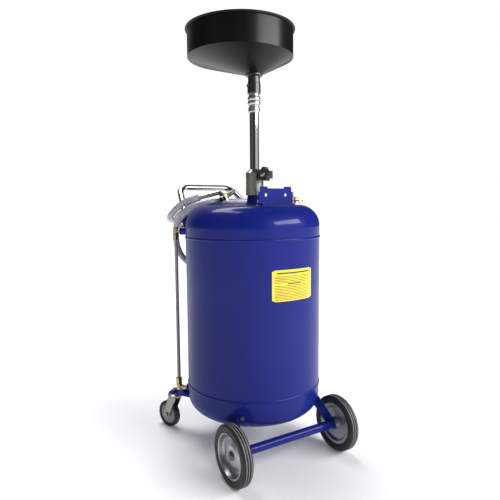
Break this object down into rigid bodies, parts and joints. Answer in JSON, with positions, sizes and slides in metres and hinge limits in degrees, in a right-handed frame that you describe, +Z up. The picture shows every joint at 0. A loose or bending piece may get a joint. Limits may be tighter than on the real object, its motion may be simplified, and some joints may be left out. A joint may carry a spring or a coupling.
{
  "type": "mobile waste-oil drainer",
  "caption": "Wheeled pressure tank for waste oil with a round catch bowl on a telescoping mast, a push handle and a coiled discharge hose.",
  "frame": {"origin": "on the floor, below the middle of the outline", "axes": "+Z up, +X along the front axle to the right, +Y towards the push handle"},
  "size_m": [0.4086, 0.581, 1.236],
  "materials": {
    "tank_paint": "gloss ultramarine paint",
    "zinc_steel": "zinc plated, satin",
    "chrome": "bright chrome",
    "nickel": "bright nickel plate",
    "black_valve": "semi-gloss black",
    "black_bowl": "satin black powder coat",
    "black_plastic": "matt black moulding",
    "brass": "turned brass",
    "bronze_valve": "dark bronze",
    "lever_zinc": "die-cast zinc",
    "gauge_tube": "clear grey tube",
    "hose_pvc": "milky translucent grey",
    "tyre_rubber": "black rubber",
    "rim_steel": "silver paint",
    "caster_hub": "grey nylon"
  },
  "bodies": {
    "frame": {"tank_shell": "tank_paint", "tank_top_head": "tank_paint", "tank_bottom_head": "tank_paint", "seam_welds": "tank_paint", "mast_socket": "tank_paint", "accessory_plate": "tank_paint", "axle_beam": "tank_paint", "strut_left": "tank_paint", "strut_right": "tank_paint", "caster_bracket_left": "tank_paint", "caster_bracket_right": "tank_paint", "handle_socket_left": "tank_paint", "handle_socket_right": "tank_paint", "sight_bosses": "tank_paint", "mast_collar": "zinc_steel", "mast_guide_tube": "zinc_steel", "dip_tube": "zinc_steel", "axle_nuts": "zinc_steel", "axle_rod": "zinc_steel", "drain_plug": "zinc_steel", "outlet_elbow": "zinc_steel", "handle": "chrome", "air_nipple": "chrome", "outlet_tube": "nickel", "eye_lug": "black_valve", "sight_nuts": "brass", "sight_elbow_low": "brass", "sight_elbow_high": "brass", "relief_valve": "brass", "air_tee": "brass", "discharge_valve": "bronze_valve", "sight_tube": "gauge_tube", "hose_tail": "hose_pvc", "hose_coil": "hose_pvc", "hose_sleeve": "hose_pvc"},
    "mast": {"mast_tube": "chrome", "coupling_nut": "nickel", "coupling_sleeve": "nickel", "valve_body": "black_valve"},
    "bowl": {"bowl_neck": "black_valve", "bowl": "black_bowl", "bowl_lock_nut": "nickel", "bowl_strainer": "nickel"},
    "bowl_valve": {"valve_pin": "black_valve"},
    "clamp": {"clamp_screw": "zinc_steel", "clamp_knob": "black_plastic"},
    "wheel_left": {"tyre_left": "tyre_rubber", "rim_left": "rim_steel"},
    "wheel_right": {"tyre_right": "tyre_rubber", "rim_right": "rim_steel"},
    "caster_left": {"caster_fork_left": "zinc_steel", "caster_bolt_left": "zinc_steel"},
    "caster_right": {"caster_fork_right": "zinc_steel", "caster_bolt_right": "zinc_steel"},
    "caster_wheel_left": {"caster_core_left": "caster_hub", "caster_tyre_left": "tyre_rubber"},
    "caster_wheel_right": {"caster_core_right": "caster_hub", "caster_tyre_right": "tyre_rubber"},
    "discharge_handle": {"discharge_lever": "lever_zinc"},
    "relief_pull": {"relief_ring": "chrome"}
  },
  "joints": [
    {"name": "mast_slide", "type": "slide", "parent": "frame", "child": "mast", "axis": [0, 0, 1], "range_m": [-0.15, 0.4]},
    {"name": "bowl_swivel", "type": "hinge", "parent": "mast", "child": "bowl", "pos_m": [0, -0.0415, 1.1], "axis": [0, 0, 1], "continuous": true},
    {"name": "bowl_valve_turn", "type": "hinge", "parent": "mast", "child": "bowl_valve", "pos_m": [-0.02, -0.0415, 1.077], "axis": [-1, 0, 0], "range_deg": [0, 90]},
    {"name": "clamp_turn", "type": "hinge", "parent": "frame", "child": "clamp", "pos_m": [0.01836, -0.08476, 0.822], "axis": [-0.9205, -0.3907, 0], "range_deg": [0, 360]},
    {"name": "wheel_left_spin", "type": "hinge", "parent": "frame", "child": "wheel_left", "pos_m": [-0.179, -0.2085, 0.082], "axis": [1, 0, 0], "continuous": true},
    {"name": "wheel_right_spin", "type": "hinge", "parent": "frame", "child": "wheel_right", "pos_m": [0.179, -0.2085, 0.082], "axis": [1, 0, 0], "continuous": true},
    {"name": "caster_left_swivel", "type": "hinge", "parent": "frame", "child": "caster_left", "pos_m": [-0.1715, 0.1845, 0.117], "axis": [0, 0, 1], "continuous": true},
    {"name": "caster_left_spin", "type": "hinge", "parent": "caster_left", "child": "caster_wheel_left", "pos_m": [-0.18176, 0.21269, 0.043], "axis": [0.9397, 0.342, 0], "continuous": true},
    {"name": "caster_right_swivel", "type": "hinge", "parent": "frame", "child": "caster_right", "pos_m": [0.1715, 0.1845, 0.117], "axis": [0, 0, 1], "continuous": true},
    {"name": "caster_right_spin", "type": "hinge", "parent": "caster_right", "child": "caster_wheel_right", "pos_m": [0.18176, 0.21269, 0.043], "axis": [0.9397, -0.342, 0], "continuous": true},
    {"name": "discharge_turn", "type": "hinge", "parent": "frame", "child": "discharge_handle", "pos_m": [-0.0456, 0.06803, 0.75583], "axis": [0.2668, -0.9558, 0.1239], "range_deg": [0, 90]},
    {"name": "relief_pull_slide", "type": "slide", "parent": "frame", "child": "relief_pull", "axis": [1, 0, 0], "range_m": [0, 0.003], "stiffness_N_per_m": 1500}
  ]
}
